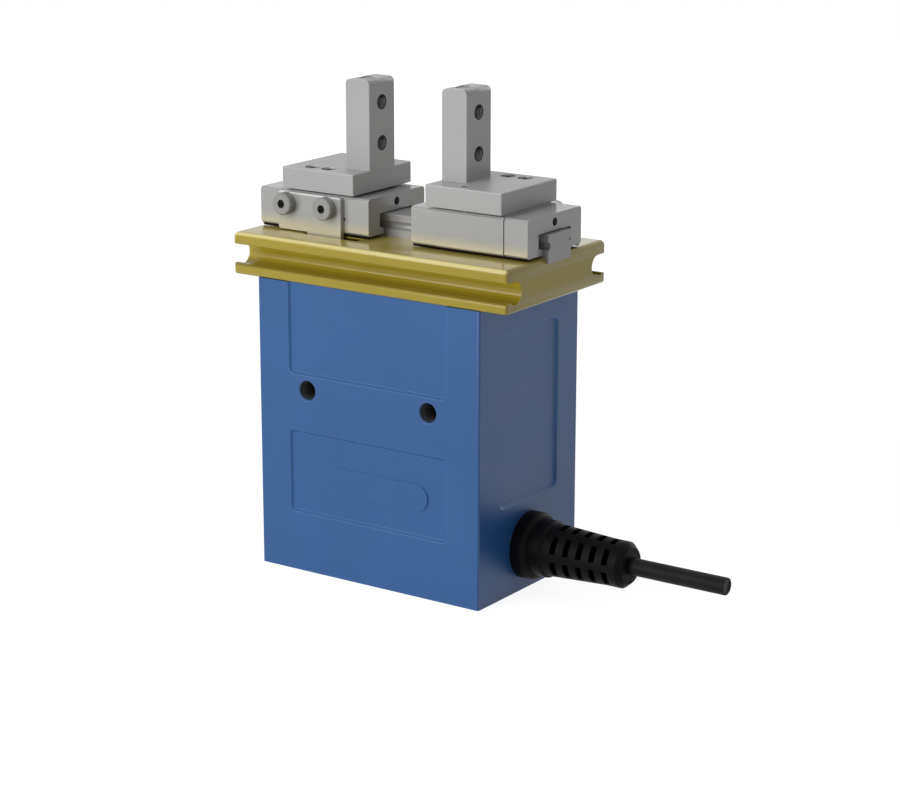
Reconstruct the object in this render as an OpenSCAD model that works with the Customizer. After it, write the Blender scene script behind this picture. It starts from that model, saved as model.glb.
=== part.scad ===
// Electric two finger gripper, millimetres, +Z up.
// Origin: middle of the underside. +X runs along the guide rail, the drive brackets of the
// left and right jaws face -Y and +Y. The jaws are drawn fully open.

/* [Housing] */
// Width of the housing, along X
body_w = 100; // [90:1:130]
// Depth of the housing and of the guide plate, along Y
body_d = 66.5; // [64:0.5:80]
// Height of the housing, underside to guide plate
body_h = 112; // [110:0.5:140]
// Wall thickness of the housing
wall = 5; // [4:0.5:6]
// Thickness of the deck that closes the housing at the top
deck_t = 8; // [7:0.5:10]
// Radius of the housing's upright corners
corner_r = 0.8; // [0.8:0.2:3]
// Depth of the recessed panels
panel_depth = 1; // [0.4:0.1:1.5]
// Width of the front recesses
panel_w = 72; // [60:1:76]
// Width of the side recesses
side_panel_w = 39; // [30:1:44]
// Thickness of the bottom cover
cover_t = 3; // [2.5:0.5:5]

/* [Mounting holes] */
// Distance between the two threaded holes in the front
mount_spacing = 55; // [50:1:60]
// Core diameter of the threaded holes
mount_core_d = 6.8; // [5:0.1:8.5]
// Height of the threaded holes above the underside
mount_z = 71.4; // [62:0.2:76]

/* [Guide plate] */
// How far the guide plate stands out past the housing at each end
plate_over = 11.5; // [8:0.5:16]
// Thickness of the guide plate
plate_t = 16.2; // [15:0.1:18]
// Depth of the side grooves
groove_depth = 9.6; // [8:0.1:10]
// Height of the side grooves
groove_h = 7.2; // [7:0.1:8]
// Thickness of the flange under the side grooves
lower_flange_t = 4.2; // [3.5:0.1:4.5]

/* [Linear guide] */
// Width of the rail
rail_w = 15; // [12:0.5:16]
// Height of the rail
rail_h = 10.5; // [9:0.5:11]
// Depth of the rail's seat in the guide plate
rail_seat = 2; // [1:0.5:2.5]
// Distance between the rail's screws
rail_pitch = 30; // [24:1:34]
// Length of a carriage with both end caps
car_l = 50.5; // [46:0.5:54]
// Width of a carriage
car_w = 36; // [33:0.5:38]
// Height of a carriage
car_h = 14.1; // [12:0.1:16]
// Length of each end cap
cap_l = 10.3; // [8:0.1:12]
// Gap between a carriage and the guide plate
car_gap = 1; // [0.8:0.1:2]
// Gap between a carriage and the rail
rail_clear = 0.3; // [0.2:0.05:0.4]
// Distance from the end of the guide plate to an open carriage
end_margin = 1.4; // [1:0.1:3]
// Travel of each jaw from open to closed
stroke = 8; // [6:0.5:8.5]

/* [Fingers] */
// Length of the finger's base plate, along X
base_l = 33; // [32:0.5:38]
// Width of the finger's base plate, along Y
base_w = 37; // [36:0.2:42]
// Thickness of the finger's base plate
base_t = 8.1; // [7:0.1:10]
// Thickness of the upright finger, along X
finger_t = 11; // [9:0.1:12]
// Width of the upright finger, along Y
finger_w = 16; // [14:0.5:18]
// Height of the upright finger above its base plate
finger_h = 33.5; // [32:0.5:45]
// Diameter of the cross holes in the finger
finger_hole_d = 5; // [4.5:0.1:6]
// Distance between the cross holes
finger_hole_gap = 15.3; // [12:0.1:16]

/* [Drive] */
// Module of the rack and pinion teeth
gear_module = 0.8; // [0.7:0.05:0.9]
// Number of teeth on the pinion
pinion_teeth = 18; // [18:1:20]
// Height of the rack and pinion teeth along Z
gear_h = 6; // [5:0.5:6]
// Thickness of the drive bracket's sheet
bracket_t = 2; // [1.5:0.1:2]
// Length of the drive bracket along X
bracket_l = 29; // [26:0.5:30]
// Diameter of the output shaft
shaft_d = 8; // [7:0.5:8]

/* [Cable] */
// Diameter of the cable
cable_d = 6.5; // [5:0.1:7]
// Height of the cable above the underside
cable_z = 16.8; // [16:0.1:20]
// Diameter of the gland's flange
gland_d = 25.5; // [24:0.5:30]
// Length of the ribbed boot past the gland
boot_l = 38.2; // [34:0.1:44]

/* [Hidden] */

$fn = 48;
eps = 0.5; // overrun of a cutter past the face that it opens

// Colours
BLUE = [0.27, 0.44, 0.70];
YELLOW = [0.72, 0.66, 0.32];
STEEL = [0.68, 0.68, 0.69];
DARK = [0.12, 0.12, 0.13];
BRASS = [0.72, 0.58, 0.30];
GREEN = [0.10, 0.36, 0.22];

// Screws: shank diameter, head diameter, head height, key across flats, tapped core diameter
M2 = [2, 3.8, 2, 1.5, 1.6];
M3 = [3, 5.5, 3, 2.5, 2.5];
M4 = [4, 7, 4, 3, 3.3];
M5 = [5, 8.5, 3.5, 3, 4.2];
screw_clear = 0.4; // a clearance hole's diameter over the shank's
head_clear = 0.5; // a counterbore's diameter over the head's

// Heights
deck_z = body_h - deck_t;
plate_top = body_h + plate_t;
rail_z = plate_top - rail_seat;
rail_top = rail_z + rail_h;
car_z = plate_top + car_gap;
car_top = car_z + car_h;
land_h = 0.6; // the carriage's machined land, which carries the finger
base_z = car_top + land_h;
base_top = base_z + base_t;
finger_top = base_top + finger_h;

// Places along X of the right jaw, open
plate_l = body_w + 2 * plate_over;
car_x1 = plate_l / 2 - end_margin;
car_x0 = car_x1 - car_l;
car_mid = (car_x0 + car_x1) / 2;
block_l = car_l - 2 * cap_l;
base_x0 = car_x0 + 6.6;
base_mid = base_x0 + base_l / 2;

// Housing details
cavity_r = 3;
rim = 2.6; // wall left beside the bottom cover
cover_gap = 0.2;
post_d = 9;
post_h = 12;
post_x = body_w / 2 - wall - 3;
post_y = body_d / 2 - wall - 3;
boss_d = 14;
boss_l = 5;
mount_chamfer = 0.7;
lower_panel_z = [23, 55.3];
pad_z = (lower_panel_z[0] + lower_panel_z[1]) / 2 - 1;
upper_panel_z = 77;
side_panel_z = [34.5, body_h - 11.5];
deck_screw_x = body_w / 2 - wall - M4[1] / 2 - 0.7;
deck_screw_y = 20;
deck_screw_l = 14;

// Guide plate details
plate_edge_r = 1; // rounding of the plate's edges
groove_upper_r = 4.2;
groove_lower_r = 2.4;
groove_mouth_r = 0.9;

// Rail details
rail_over = 0.8; // how far the rail stands out past each end of the guide plate
ball_d = 2.8;
ball_z = rail_z + 6.4;
ball_y = rail_w / 2 + rail_clear / 2;
track_r = 1.5; // radius of the ball tracks in rail and carriage
rail_screws_x = [for (i = [-1.5:1:1.5]) i * rail_pitch];
rail_sink = 4.5; // depth of the rail's counterbores
rail_screw_l = 9.5;

// Drive
pitch_r = gear_module * pinion_teeth / 2;
tooth_pitch = PI * gear_module;
addendum = gear_module;
dedendum = 1.25 * gear_module;
pressure_angle = 20;
backlash = 0.12; // taken off the thickness of each tooth at the pitch line
rack_back = 5; // solid behind the rack's teeth
foot_z = body_h + 0.8; // underside of the bracket's foot
rack_z = foot_z + bracket_t;
rack_y = pitch_r + dedendum + rack_back; // back of the rack
rack_teeth = 9;
rack_tip_x = 6.2; // how far the rack reaches past the pinion's axis
bracket_x0 = car_mid - 13.9;
bracket_x1 = bracket_x0 + bracket_l;
bracket_y = car_w / 2;
tab_l = 15.6; // length of the tab that passes through the guide plate
slot_clear = 0.8;
slot_front = 2; // room in the slot on the bracket's outer side
rack_x1 = bracket_x0 + tab_l;
bracket_screw_x = [bracket_x0 + 6.4, bracket_x0 + 25.2];
bracket_screw_z = car_z + 9.5;
foot_y = rack_y - 4.6; // inner edge of the bracket's foot
rack_screw_x = [bracket_x0 + 4, bracket_x0 + 11.6];
pocket_l = 2 * (rack_x1 + slot_clear);
pocket_w = 2 * (bracket_y + bracket_t + slot_front);
pocket_top = rack_z + gear_h + 0.7;

// Shaft line
journal_d = 5;
bush_d = 8;
running = 0.05; // radial clearance of the shaft's running fits
bearing_d = 22;
bearing_w = 6.4;
bearing_race = 2.6; // wall of each bearing ring
bearing_ball_d = 3;
bearing_balls_n = 8;
bearing_pitch_r = (shaft_d / 2 + bearing_d / 2) / 2;
bearing_track_r = bearing_ball_d / 2 + 0.06;
pilot_h = 1; // raised ring on the gearbox that carries the bearing's outer ring
gearbox_sq = 42;
gearbox_l = 30;
gearbox_z = deck_z - gearbox_l;
gearbox_hole = 31; // square pattern of the gearbox's screws
gearbox_screw_l = 9;
motor_l = 40;
motor_z = gearbox_z - motor_l;
bell_l = 8;
encoder_l = 14;
encoder_d = 36;
shaft_z = deck_z - 12;
bearing_z = deck_z + pilot_h;
pinion_z = rack_z;
key_w = 2;
key_r = [2.9, 4.9]; // inner and outer edge of the key
key_l = gear_h - 0.6;

// Involute teeth
base_r = pitch_r * cos(pressure_angle);
root_r = pitch_r - dedendum;
tip_r = pitch_r + addendum;
flank_steps = 6;
flank_lead = tan(pressure_angle) * 180 / PI - pressure_angle;
half_tooth = (tooth_pitch / 2 - backlash) / pitch_r * 90 / PI; // half a tooth at the pitch circle
flank_start = -half_tooth - flank_lead;
tooth_angle = 360 / pinion_teeth;

// Carriage and finger details
window_w = rail_w + 6.4; // window round the rail in the outer face of an end cap
window_z = car_z + 2.6;
window_depth = 3;
cap_joint = 0.4; // width of the shallow groove where a cap meets the carriage
bracket_screw_l = 8;
finger_screw_l = 10;
grease_d = 3;
side_hole_d = 1.4;
pin_d = 3;
finger_screws_at = [[base_mid - 1.2, 12.8], [base_mid + 6.4, 12.8]];
finger_pins_at = [[base_mid - 1.8, -14], [base_mid + 6.4, -14]];
finger_mid = base_x0 + finger_t / 2;
finger_round = 2.2;
first_hole_z = base_top + 9.4;

// Control board
board_t = 1.6;
board_gap = 5;
board_x = -body_w / 2 + wall + board_gap;
board_w = 44;
board_z = [15, 93];
board_hole = [36, 66];

// Cable
gland_flange_t = 6.4;
gland_flange_r = 2.4; // rounding of the flange's outer edge
gland_shank_d = 16;
locknut_t = 4;
locknut_af = 20;
boot_x0 = body_w / 2 + gland_flange_t;
boot_x1 = boot_x0 + boot_l;
boot_base_d = 21.5;
boot_tip_d = 16.4;
boot_core_d = cable_d + 4;
slot_rows = 5;
slot_count = 6;
slot_w = 2.4;
slot_step = 5.4;
slot_first = boot_x0 + 10;
slot_angle = 42; // angle that each slot covers
inner_cable_x = body_w / 2 - wall - 14;
cable_sides = 12;
cable_route = [
    [boot_x1, 0, cable_z],
    [boot_x1 + 14, 0, cable_z],
    [boot_x1 + 28, 0, cable_z],
    [boot_x1 + 39.5, 0, cable_z]
];

// ---------- shared shapes ----------

// Rectangle with true round corners, centred
module round_rect(size, r) {
    square([size[0] - 2 * r, size[1]], center = true);
    square([size[0], size[1] - 2 * r], center = true);
    for (sx = [-1, 1], sy = [-1, 1])
        translate([sx * (size[0] / 2 - r), sy * (size[1] / 2 - r)])
            circle(r = r);
}

// Rectangle with cut corners, centred
module cut_rect(size, c) {
    x = size[0] / 2;
    y = size[1] / 2;
    polygon([
        [-x + c, -y], [x - c, -y], [x, -y + c], [x, y - c],
        [x - c, y], [-x + c, y], [-x, y - c], [-x, -y + c]
    ]);
}

// Extrudes an outline drawn in Y and Z along X, centred on X = 0
module along_x(length) rotate([90, 0, 90])
    linear_extrude(length, center = true) children();

// Extrudes an outline drawn in X and Z along Y, centred on Y = 0
module along_y(length) rotate([90, 0, 0])
    linear_extrude(length, center = true) children();

// Block with all its edges chamfered, centred on X and Y, standing on Z = 0
module chamfer_block(size, c) translate([0, 0, size[2] / 2]) intersection() {
    linear_extrude(size[2] + eps, center = true) cut_rect([size[0], size[1]], c);
    along_x(size[0] + eps) cut_rect([size[1], size[2]], c);
    along_y(size[1] + eps) cut_rect([size[0], size[2]], c);
}

// Cutter for a recess with walls that slope outwards at 45 degrees: its mouth at Z = 0, its floor
// of the given size at Z = -depth
module recess(size, depth, r) {
    run = depth + eps;
    x = size[0] / 2;
    y = size[1] / 2;
    along_x(2 * (x - r)) polygon([[-y, -depth], [y, -depth], [y + run, eps], [-y - run, eps]]);
    along_y(2 * (y - r)) polygon([[-x, -depth], [x, -depth], [x + run, eps], [-x - run, eps]]);
    for (sx = [-1, 1], sy = [-1, 1]) translate([sx * (x - r), sy * (y - r), -depth])
        cylinder(r1 = r, r2 = r + run, h = run);
}

// Socket head screw, head up, seat of the head at Z = 0; its thread is drawn at the core diameter
module socket_screw(spec, length) {
    head_chamfer = 0.4;
    key_depth = spec[2] * 0.55;
    difference() {
        union() {
            translate([0, 0, -length]) cylinder(d = spec[4], h = length + eps);
            rotate_extrude() polygon([
                [0, 0], [spec[1] / 2, 0], [spec[1] / 2, spec[2] - head_chamfer],
                [spec[1] / 2 - head_chamfer, spec[2]], [0, spec[2]]
            ]);
        }
        translate([0, 0, spec[2] - key_depth])
            cylinder(d = spec[3] / cos(30), h = key_depth + eps, $fn = 6);
    }
}

// Countersunk screw, face at Z = 0, point down; its thread is drawn at the core diameter
module sunk_screw(spec, length) {
    head_r = spec[0];
    core_r = spec[4] / 2;
    difference() {
        rotate_extrude() polygon([
            [0, -length], [core_r, -length], [core_r, -head_r + core_r],
            [head_r - 0.1, -0.1], [head_r - 0.1, 0], [0, 0]
        ]);
        translate([0, 0, -1.2]) cylinder(d = spec[3] * 0.8 / cos(30), h = 1.2 + eps, $fn = 6);
    }
}

// Seat for a countersunk screw: cone and clearance hole, mouth at Z = 0
module sunk_seat(spec, depth) {
    head_r = spec[0];
    shank_r = (spec[0] + screw_clear) / 2;
    rotate_extrude() polygon([
        [0, -depth - eps], [shank_r, -depth - eps], [shank_r, -head_r / 2],
        [head_r, 0], [head_r, eps], [0, eps]
    ]);
}

// Turns the right jaw's piece into the left jaw's
module left_side() rotate([0, 0, 180]) children();

// ---------- housing ----------

module panel_cutters() {
    slope = 2 * panel_depth;
    upper_h = body_h - upper_panel_z + 4;
    lower_h = lower_panel_z[1] - lower_panel_z[0];
    side_h = side_panel_z[1] - side_panel_z[0];
    translate([0, -body_d / 2, upper_panel_z + upper_h / 2]) rotate([90, 0, 0])
        recess([panel_w - slope, upper_h - slope], panel_depth, 1.4);
    translate([0, -body_d / 2, lower_panel_z[0] + lower_h / 2]) rotate([90, 0, 0])
        recess([panel_w - slope, lower_h - slope], panel_depth, 0.5);
    for (side = [-1, 1])
        translate([side * body_w / 2, 0, side_panel_z[0] + side_h / 2])
            rotate([0, 0, side * 90]) rotate([90, 0, 0])
                recess([side_panel_w - slope, side_h - slope], panel_depth, 2);
}

// Low plain pad inside the lower front recess
module recess_pad() translate([4, -body_d / 2 + panel_depth - 0.3, pad_z])
    along_y(0.6) round_rect([46, 10], 4.9);

module housing() color(BLUE) difference() {
    union() {
        difference() {
            linear_extrude(body_h) round_rect([body_w, body_d], corner_r);
            translate([0, 0, cover_t])
                linear_extrude(deck_z - cover_t)
                    round_rect([body_w - 2 * wall, body_d - 2 * wall], cavity_r);
            translate([0, 0, -eps])
                linear_extrude(cover_t + eps)
                    round_rect([body_w - 2 * rim, body_d - 2 * rim], cavity_r);
            panel_cutters();
        }
        recess_pad();
        for (sx = [-1, 1], sy = [-1, 1])
            translate([sx * post_x, sy * post_y, cover_t]) cylinder(d = post_d, h = post_h);
        for (sx = [-1, 1])
            translate([sx * mount_spacing / 2, -body_d / 2 + wall - 1, mount_z])
                rotate([-90, 0, 0]) cylinder(d = boss_d, h = boss_l + 1);
    }
    for (sx = [-1, 1], sy = [-1, 1])
        translate([sx * post_x, sy * post_y, cover_t - eps]) cylinder(d = M3[4], h = 9 + eps);
    for (sx = [-1, 1]) translate([sx * mount_spacing / 2, -body_d / 2, mount_z]) rotate([-90, 0, 0]) {
        translate([0, 0, -eps]) cylinder(d = mount_core_d, h = wall + boss_l + 2 * eps);
        translate([0, 0, -eps])
            cylinder(d1 = mount_core_d + 2 * (mount_chamfer + eps), d2 = mount_core_d,
                     h = mount_chamfer + eps);
    }
    translate([0, 0, deck_z - eps]) cylinder(d = bearing_d + 0.1, h = deck_t + 2 * eps);
    for (sx = [-1, 1], sy = [-1, 1]) {
        translate([sx * gearbox_hole / 2, sy * gearbox_hole / 2, deck_z - eps])
            cylinder(d = M4[0] + screw_clear, h = deck_t + 2 * eps);
        translate([sx * gearbox_hole / 2, sy * gearbox_hole / 2, body_h - M4[2] - 0.3])
            cylinder(d = M4[1] + head_clear, h = M4[2] + 0.3 + eps);
        translate([sx * deck_screw_x, sy * deck_screw_y, deck_z - eps])
            cylinder(d = M4[0] + screw_clear, h = deck_t + 2 * eps);
    }
    translate([body_w / 2 - wall - eps, 0, cable_z]) rotate([0, 90, 0])
        cylinder(d = gland_shank_d + 0.1, h = wall + 2 * eps);
}

module bottom_cover() color(DARK) difference() {
    linear_extrude(cover_t)
        round_rect([body_w - 2 * (rim + cover_gap), body_d - 2 * (rim + cover_gap)],
                   cavity_r - cover_gap);
    for (sx = [-1, 1], sy = [-1, 1]) translate([sx * post_x, sy * post_y, 0])
        mirror([0, 0, 1]) sunk_seat(M3, cover_t);
}

module cover_screw(sx, sy) color(STEEL) translate([sx * post_x, sy * post_y, 0])
    mirror([0, 0, 1]) sunk_screw(M3, 10);

module cover_screw_1() { cover_screw(-1, -1); }
module cover_screw_2() { cover_screw(1, -1); }
module cover_screw_3() { cover_screw(-1, 1); }
module cover_screw_4() { cover_screw(1, 1); }

// ---------- guide plate and rail ----------

// Corner of a groove's mouth, rounded by r: the cutter fills the corner's outer side
module mouth_round(r) difference() {
    square(r + eps);
    circle(r = r);
}

// Outline of the groove in the +Y side, in Y and Z from the plate's underside
module groove_outline() {
    inner = body_d / 2 - groove_depth;
    mouth = body_d / 2 - groove_mouth_r;
    low = lower_flange_t;
    high = lower_flange_t + groove_h;
    translate([inner + groove_upper_r, low])
        square([groove_depth - groove_upper_r + eps, groove_h]);
    translate([inner + groove_lower_r, low])
        square([groove_upper_r - groove_lower_r + eps, groove_h - groove_upper_r]);
    translate([inner, low + groove_lower_r])
        square([groove_upper_r + eps, groove_h - groove_upper_r - groove_lower_r]);
    translate([inner + groove_upper_r, high - groove_upper_r]) circle(r = groove_upper_r);
    translate([inner + groove_lower_r, low + groove_lower_r]) circle(r = groove_lower_r);
    translate([mouth, low - groove_mouth_r]) mouth_round(groove_mouth_r);
    translate([mouth, high + groove_mouth_r]) mirror([0, 1]) mouth_round(groove_mouth_r);
}

// Cross section of the guide plate in Y and Z, from its underside
module plate_profile() difference() {
    translate([0, plate_t / 2]) round_rect([body_d, plate_t], plate_edge_r);
    for (side = [0, 1]) mirror([side, 0]) groove_outline();
    translate([-rail_w / 2 - 0.05, plate_t - rail_seat]) square([rail_w + 0.1, rail_seat + eps]);
}

module guide_plate() color(YELLOW) difference() {
    translate([0, 0, body_h]) intersection() {
        along_x(plate_l) plate_profile();
        translate([0, 0, plate_t / 2])
            along_y(body_d + eps) round_rect([plate_l, plate_t], plate_edge_r);
        translate([0, 0, -eps])
            linear_extrude(plate_t + 2 * eps) round_rect([plate_l, body_d], plate_edge_r);
    }
    translate([0, 0, body_h - eps])
        linear_extrude(pocket_top - body_h + eps) round_rect([pocket_l, pocket_w], 2);
    for (turn = [0, 180]) rotate([0, 0, turn])
        translate([bracket_x0 - slot_clear - stroke, bracket_y - slot_clear, pocket_top - eps])
            cube([tab_l + stroke + 2 * slot_clear, bracket_t + slot_clear + slot_front, plate_t]);
    translate([0, 0, pocket_top - eps]) cylinder(d = bush_d, h = rail_z - pocket_top - 1 + eps);
    for (x = rail_screws_x) translate([x, 0, rail_z - 5]) cylinder(d = M3[4], h = 5 + eps);
    for (sx = [-1, 1], sy = [-1, 1])
        translate([sx * deck_screw_x, sy * deck_screw_y, body_h - eps])
            cylinder(d = M4[4], h = deck_screw_l - deck_t + 2 + eps);
}

module deck_screws() color(STEEL) for (sx = [-1, 1], sy = [-1, 1])
    translate([sx * deck_screw_x, sy * deck_screw_y, deck_z])
        mirror([0, 0, 1]) socket_screw(M4, deck_screw_l);

// Cross section of the rail in Y and Z, from its underside
module rail_profile() difference() {
    translate([0, rail_h / 2]) cut_rect([rail_w, rail_h], 0.5);
    for (side = [-1, 1]) translate([side * ball_y, ball_z - rail_z]) circle(r = track_r, $fn = 24);
}

module guide_rail() color(STEEL) difference() {
    translate([0, 0, rail_z]) along_x(plate_l + 2 * rail_over) rail_profile();
    for (x = rail_screws_x) translate([x, 0, rail_z]) {
        translate([0, 0, -eps]) cylinder(d = M3[0] + screw_clear, h = rail_h + 2 * eps);
        translate([0, 0, rail_h - rail_sink]) cylinder(d = M3[1] + head_clear, h = rail_sink + eps);
    }
}

module rail_screws() color(STEEL) for (x = rail_screws_x)
    translate([x, 0, rail_top - rail_sink])
        socket_screw(M3, rail_screw_l);

// ---------- motor, gearbox and shaft ----------

module gearbox() color(STEEL) difference() {
    union() {
        translate([0, 0, gearbox_z]) linear_extrude(6) cut_rect([gearbox_sq, gearbox_sq], 3);
        translate([0, 0, gearbox_z]) cylinder(d = gearbox_sq - 1, h = gearbox_l);
        translate([0, 0, deck_z - 8]) linear_extrude(8) cut_rect([gearbox_sq, gearbox_sq], 4);
        translate([0, 0, deck_z - eps]) cylinder(d = bearing_d, h = pilot_h + eps);
    }
    for (ring_z = [gearbox_z + 9, gearbox_z + 12, gearbox_z + 15, gearbox_z + 18])
        translate([0, 0, ring_z]) rotate_extrude()
            translate([gearbox_sq / 2 - 1, 0]) square([2, 1]);
    translate([0, 0, shaft_z]) cylinder(d = shaft_d + 2 * running, h = deck_z - shaft_z + eps);
    translate([0, 0, deck_z]) cylinder(r = bearing_d / 2 - bearing_race + 0.2, h = pilot_h + eps);
    for (sx = [-1, 1], sy = [-1, 1])
        translate([sx * gearbox_hole / 2, sy * gearbox_hole / 2, deck_z - 7])
            cylinder(d = M4[4], h = 7 + eps);
}

module gearbox_screws() color(STEEL) for (sx = [-1, 1], sy = [-1, 1])
    translate([sx * gearbox_hole / 2, sy * gearbox_hole / 2, body_h - M4[2] - 0.3])
        socket_screw(M4, gearbox_screw_l);

module motor_front_bell() color(STEEL) translate([0, 0, gearbox_z - bell_l])
    linear_extrude(bell_l) cut_rect([gearbox_sq, gearbox_sq], 3);

module motor_stator() color(DARK) translate([0, 0, motor_z + bell_l]) difference() {
    linear_extrude(motor_l - 2 * bell_l) cut_rect([gearbox_sq, gearbox_sq], 5);
    for (step = [0:1:6]) translate([0, 0, 2 + step * 3])
        difference() {
            linear_extrude(0.6) square(gearbox_sq + 1, center = true);
            translate([0, 0, -eps]) linear_extrude(2) cut_rect([gearbox_sq - 0.8, gearbox_sq - 0.8], 5);
        }
}

module motor_rear_bell() color(STEEL) translate([0, 0, motor_z])
    linear_extrude(bell_l) cut_rect([gearbox_sq, gearbox_sq], 3);

module encoder_cover() color(DARK) translate([0, 0, motor_z - encoder_l]) union() {
    rotate_extrude() polygon([
        [0, 0], [encoder_d / 2 - 1, 0], [encoder_d / 2, 1],
        [encoder_d / 2, encoder_l], [0, encoder_l]
    ]);
    translate([encoder_d / 2 - 2, -6, 3]) cube([6, 12, 7]);
}

module output_shaft() color(STEEL) difference() {
    translate([0, 0, shaft_z + 0.2]) {
        cylinder(d = shaft_d, h = pinion_z + gear_h - shaft_z - 0.2);
        cylinder(d = journal_d, h = rail_z - 1.3 - shaft_z - 0.2);
    }
    key_slot(pinion_z + key_l);
}

// Ring of the ball bearing in the deck, turned with a ball track
module bearing_ring(inner_r, outer_r) difference() {
    translate([0, 0, bearing_z]) rotate_extrude()
        translate([inner_r, 0]) square([outer_r - inner_r, bearing_w]);
    translate([0, 0, bearing_z + bearing_w / 2]) rotate_extrude()
        translate([bearing_pitch_r, 0]) circle(r = bearing_track_r, $fn = 24);
}

module bearing_outer() color(STEEL) bearing_ring(bearing_d / 2 - bearing_race, bearing_d / 2);
module bearing_inner() color(STEEL) bearing_ring(shaft_d / 2, shaft_d / 2 + bearing_race);
module bearing_balls() color(STEEL) for (i = [0:bearing_balls_n - 1])
    rotate([0, 0, i * 360 / bearing_balls_n])
        translate([bearing_pitch_r, 0, bearing_z + bearing_w / 2]) sphere(d = bearing_ball_d);

module shaft_bush() color(BRASS) difference() {
    bush_z = pocket_top - 0.5;
    translate([0, 0, bush_z]) cylinder(d = bush_d, h = rail_z - 1 - bush_z);
    translate([0, 0, bush_z - eps]) cylinder(d = journal_d + 2 * running, h = plate_t);
}

// Parallel key that turns the pinion with the shaft
module shaft_key() color(STEEL) translate([key_r[0], -key_w / 2, pinion_z])
    cube([key_r[1] - key_r[0], key_w, key_l]);

module key_slot(top) translate([key_r[0], -key_w / 2, pinion_z])
    cube([key_r[1] - key_r[0], key_w, top - pinion_z]);

// ---------- rack and pinion ----------

// Point of an involute of base radius rb at radius r, turned by the angle start
function involute_point(rb, r, start) =
    let (roll = sqrt(max(0, r * r / (rb * rb) - 1)))
    let (polar = roll * 180 / PI - atan(roll))
    [r * cos(start + polar), r * sin(start + polar)];

// One flank from root to tip; side is 1 for the trailing flank and -1 for the leading one
function flank(side) = [
    for (i = [0:flank_steps])
        let (r = base_r + (tip_r - base_r) * i / flank_steps)
        let (p = involute_point(base_r, r, flank_start))
        [p[0], side * p[1]]
];
function spin(points, a) = [
    for (p = points) [p[0] * cos(a) - p[1] * sin(a), p[0] * sin(a) + p[1] * cos(a)]
];
function root_point(a) = [root_r * cos(a), root_r * sin(a)];
function reversed(points) = [for (i = [len(points) - 1:-1:0]) points[i]];
function tooth(a) = concat(
    [root_point(a + flank_start - 1)],
    spin(flank(1), a),
    spin(reversed(flank(-1)), a),
    [root_point(a - flank_start + 1)]
);
// A tooth points at each rack, at -90 and +90 degrees
pinion_outline = [for (i = [0:pinion_teeth - 1]) each tooth(90 + i * tooth_angle)];

module pinion() color(STEEL) difference() {
    translate([0, 0, pinion_z]) linear_extrude(gear_h) polygon(pinion_outline);
    translate([0, 0, pinion_z - eps]) cylinder(d = shaft_d, h = gear_h + 2 * eps);
    key_slot(pinion_z + gear_h + eps);
}

// Rack tooth outline: flanks slope by the pressure angle; y counts from the pitch line
function rack_tooth(x) =
    let (half = (tooth_pitch / 2 - backlash) / 2)
    let (slope = tan(pressure_angle))
    [
        [x - half - dedendum * slope, dedendum], [x - half + addendum * slope, -addendum],
        [x + half - addendum * slope, -addendum], [x + half + dedendum * slope, dedendum]
    ];

module rack() {
    // A gap of the rack sits on the pinion's tooth at X = 0
    gap_count = floor((rack_tip_x - 0.6) / tooth_pitch - 0.5);
    teeth = [for (i = [0:rack_teeth - 1]) (gap_count + 0.5 - i) * tooth_pitch];
    far = max([rack_x1, rack_tip_x]);
    translate([0, pitch_r, rack_z]) linear_extrude(gear_h) union() {
        translate([-rack_tip_x, dedendum]) square([far + rack_tip_x, rack_back]);
        polygon(concat(
            [[-teeth[0] - tooth_pitch / 2, dedendum + 1]],
            [for (t = teeth) each rack_tooth(-t)],
            [[-teeth[rack_teeth - 1] + tooth_pitch / 2, dedendum + 1]]
        ));
    }
}

module drive_rack() color(STEEL) difference() {
    rack();
    for (x = rack_screw_x) translate([x, rack_y - 2.6, rack_z - eps])
        cylinder(d = M2[4], h = 5 + eps);
}

module rack_screws() color(STEEL) for (x = rack_screw_x)
    translate([x, rack_y - 2.6, foot_z]) mirror([0, 0, 1]) sunk_screw(M2, 6);

// Bracket: a wide leg on the carriage's side, a narrower tab through the plate and a foot
module drive_bracket() color(STEEL) difference() {
    union() {
        leg_z = plate_top + 0.5;
        translate([(bracket_x0 + bracket_x1) / 2, bracket_y + bracket_t / 2,
                   (leg_z + car_top - 0.3) / 2])
            along_y(bracket_t) cut_rect([bracket_l, car_top - 0.3 - leg_z], 0.6);
        translate([bracket_x0, bracket_y, foot_z]) cube([tab_l, bracket_t, leg_z + 2 - foot_z]);
        translate([bracket_x0, foot_y, foot_z])
            cube([tab_l, bracket_y + bracket_t - foot_y, bracket_t]);
    }
    for (x = bracket_screw_x) translate([x, bracket_y - eps, bracket_screw_z])
        rotate([-90, 0, 0]) cylinder(d = M5[0] + screw_clear, h = bracket_t + 2 * eps);
    for (x = rack_screw_x) translate([x, rack_y - 2.6, foot_z]) mirror([0, 0, 1])
        sunk_seat(M2, bracket_t);
}

module bracket_screw(i) color(STEEL)
    translate([bracket_screw_x[i], bracket_y + bracket_t, bracket_screw_z])
        rotate([-90, 0, 0]) socket_screw(M5, bracket_screw_l);

// ---------- carriages ----------

// Outline of the carriage in Y and Z, open round the rail, from the carriage's underside
module carriage_profile(inset, channel_r) difference() {
    translate([0, car_h / 2]) cut_rect([car_w - 2 * inset, car_h - inset], 0.8);
    translate([-channel_r, -eps - 1])
        square([2 * channel_r, rail_top + rail_clear - car_z + 1 + eps]);
    for (side = [-1, 1]) translate([side * ball_y, ball_z - car_z]) circle(r = track_r, $fn = 24);
}

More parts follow.
